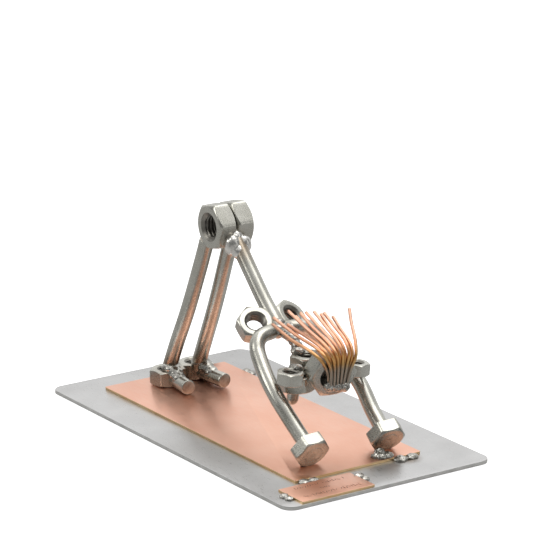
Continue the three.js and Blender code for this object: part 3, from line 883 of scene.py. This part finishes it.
def makeWireCopper():
    # grey at the roots, golden where the torch heated the bend, salmon at the tips
    material, tree, shader, place = startMaterial("wireCopper")
    shader.inputs["Metallic"].default_value = 1.0
    grain = groupNode(tree, metalGrain, {
        "Vector": place, "Stretch": (1, 1, 1), "Fineness": 3000.0, "Clouding": 300.0,
    })
    split = addNode(tree, "ShaderNodeSeparateXYZ", {"Vector": place})
    lifted = addNode(tree, "ShaderNodeMath", {
        0: grain.outputs["Cloud"], 1: 0.003, 2: split.outputs["Z"],
    }, operation="MULTIPLY_ADD")
    height = mapTo(tree, lifted.outputs[0], 0.030, 0.052, 0.0, 1.0)
    along = colourRamp(tree, height, (
        (0.10, (0.42, 0.39, 0.34)), (0.36, (0.46, 0.40, 0.32)), (0.48, (0.66, 0.42, 0.18)),
        (0.62, (0.90, 0.52, 0.20)), (0.78, (0.88, 0.47, 0.28)), (0.95, (0.86, 0.50, 0.36))))
    tree.links.new(along, shader.inputs["Base Color"])
    tree.links.new(mapTo(tree, grain.outputs["Scratch"], 0.3, 0.7, 0.26, 0.42), shader.inputs["Roughness"])
    addBump(tree, shader, grain.outputs["Height"], 0.00004, 0.8)
    return material


wireCopper = makeWireCopper()
for index, route in enumerate(wireRoutes):
    name = f"hair_wire_{index + 1:02d}"
    makeBar(name.replace("_", "-"), route, wire["diameter"], [name], wireCopper,
            wire["sides"], wire["spacing"], None, wire["ease"])
print("hair made")


# ---- sheets ----

def makeSheet(name, node, shape, materials):
    # a slab with rounded corners and eased edges, its rim in the second material
    bm = bmesh.new()
    size = [(b - a) / 1000 for a, b in zip(shape["low"], shape["high"])]
    middle = [(a + b) / 2000 for a, b in zip(shape["low"], shape["high"])]
    bmesh.ops.create_cube(bm, size=1, matrix=Matrix.Translation(middle) @ Matrix.Diagonal((*size, 1)))

    def rise(edge):
        return abs(edge.verts[0].co.z - edge.verts[1].co.z)

    corners = [edge for edge in bm.edges if rise(edge) > 1e-5]
    bmesh.ops.bevel(bm, geom=corners, offset=shape["corner"] / 1000, offset_type="OFFSET",
                    segments=shape["steps"], profile=0.5, affect="EDGES", material=-1)
    edges = [edge for edge in bm.edges
             if rise(edge) < 1e-6 and len({round(face.normal.z) for face in edge.link_faces}) > 1]
    bmesh.ops.bevel(bm, geom=edges, offset=shape["edge"] / 1000, offset_type="OFFSET",
                    segments=2, profile=0.5, affect="EDGES", material=-1)
    for face in bm.faces:
        if abs(face.normal.z) < 0.9:
            face.material_index = 1
    return finishPiece(name, bm, materials, [node], 30)


plate = {"low": (-85, -46.75, 0), "high": (85, 46.75, 1.5), "corner": 5.0, "steps": 12, "edge": 0.15}
mat = {"low": (-71.0, -29.6, 1.5), "high": (64.8, 28.0, 2.5), "corner": 0.8, "steps": 4, "edge": 0.12}
plaque = {"low": (68.3, -39.7, 1.5), "high": (84.4, -7.5, 2.4), "corner": 0.4, "steps": 3, "edge": 0.1}
edgeSteel = metalMaterial("edgeSteel", {
    "stretch": (1, 1, 0.1), "fineness": 3000.0, "clouding": 200.0, "relief": 0.05,
    "colours": ((0.3, (0.66, 0.66, 0.65)), (0.7, (0.86, 0.86, 0.85))),
    "roughness": (0.3, 0.5),
})
edgeCopper = metalMaterial("edgeCopper", {
    "stretch": (1, 1, 0.1), "fineness": 3000.0, "clouding": 200.0, "relief": 0.05,
    "colours": ((0.3, (0.95, 0.62, 0.32)), (0.7, (1.0, 0.78, 0.46))),
    "roughness": (0.28, 0.45),
})
makeSheet("basePlate", "base_plate", plate, (sheetSteel, edgeSteel))
makeSheet("matSheet", "mat", mat, (sheetCopper, edgeCopper))
makeSheet("plaqueSheet", "plaque", plaque, (sheetCopper, edgeCopper))

# rows of plain engraved strokes on the plaque, lying along the plate's front edge
strokes = {
    "rows": ((71.6, 2.0, 20, 0.9), (75.9, 1.1, 6, 0.7), (80.3, 2.2, 22, 0.9)),      # x, length, count, pace
    "middle": -23.6, "seed": 7, "skipped": 0.14, "spread": 1.25, "jitter": 0.25,
    "leans": (-0.5, 0.0, 0.0, 0.6, 1.57), "width": 0.28, "relief": 0.08, "level": 2.41,
}
engraved = metalMaterial("engraved", {
    "stretch": (1, 1, 1), "fineness": 2600.0, "clouding": 300.0, "relief": 0.05,
    "colours": ((0.3, (0.34, 0.14, 0.09)), (0.7, (0.74, 0.44, 0.32))),
    "roughness": (0.34, 0.55),
})
bm = bmesh.new()
chance = random.Random(strokes["seed"])
for x, tall, count, pace in strokes["rows"]:
    for k in range(count):
        if chance.random() < strokes["skipped"]:
            continue
        y = strokes["middle"] + (k - (count - 1) / 2) * pace * strokes["spread"]
        lean = chance.choice(strokes["leans"])
        length = tall * chance.uniform(0.55, 1.0) if lean < 1 else pace * 0.8
        shift = chance.uniform(-strokes["jitter"], strokes["jitter"])
        turn = Matrix.Translation(mm((x + shift, y, strokes["level"]))) @ Matrix.Rotation(lean, 4, "Z")
        size = mm((length, strokes["width"], strokes["relief"]))
        bmesh.ops.create_cube(bm, size=1, matrix=turn @ Matrix.Diagonal((*size, 1)))
finishPiece("plaqueStrokes", bm, (engraved,), [], 30)
print("sheets made")


# ---- floor ----

bm = bmesh.new()
bmesh.ops.create_grid(bm, x_segments=1, y_segments=1, size=4)      # 8 m across
floorMesh = bpy.data.meshes.new("floor")
bm.to_mesh(floorMesh)
bm.free()
floor = bpy.data.objects.new("floor", floorMesh)
floor.location.z = -0.0002      # just under the plate
scene.collection.objects.link(floor)
paper, tree, shader, place = startMaterial("paperWhite")
shader.inputs["Base Color"].default_value = (0.45, 0.45, 0.45, 1)
shader.inputs["Roughness"].default_value = 0.9
shader.inputs["Emission Color"].default_value = (1, 1, 1, 1)
seen = addNode(tree, "ShaderNodeLightPath").outputs["Is Camera Ray"]
tree.links.new(seen, shader.inputs["Emission Strength"])
floorMesh.materials.append(paper)

print("scene ready")
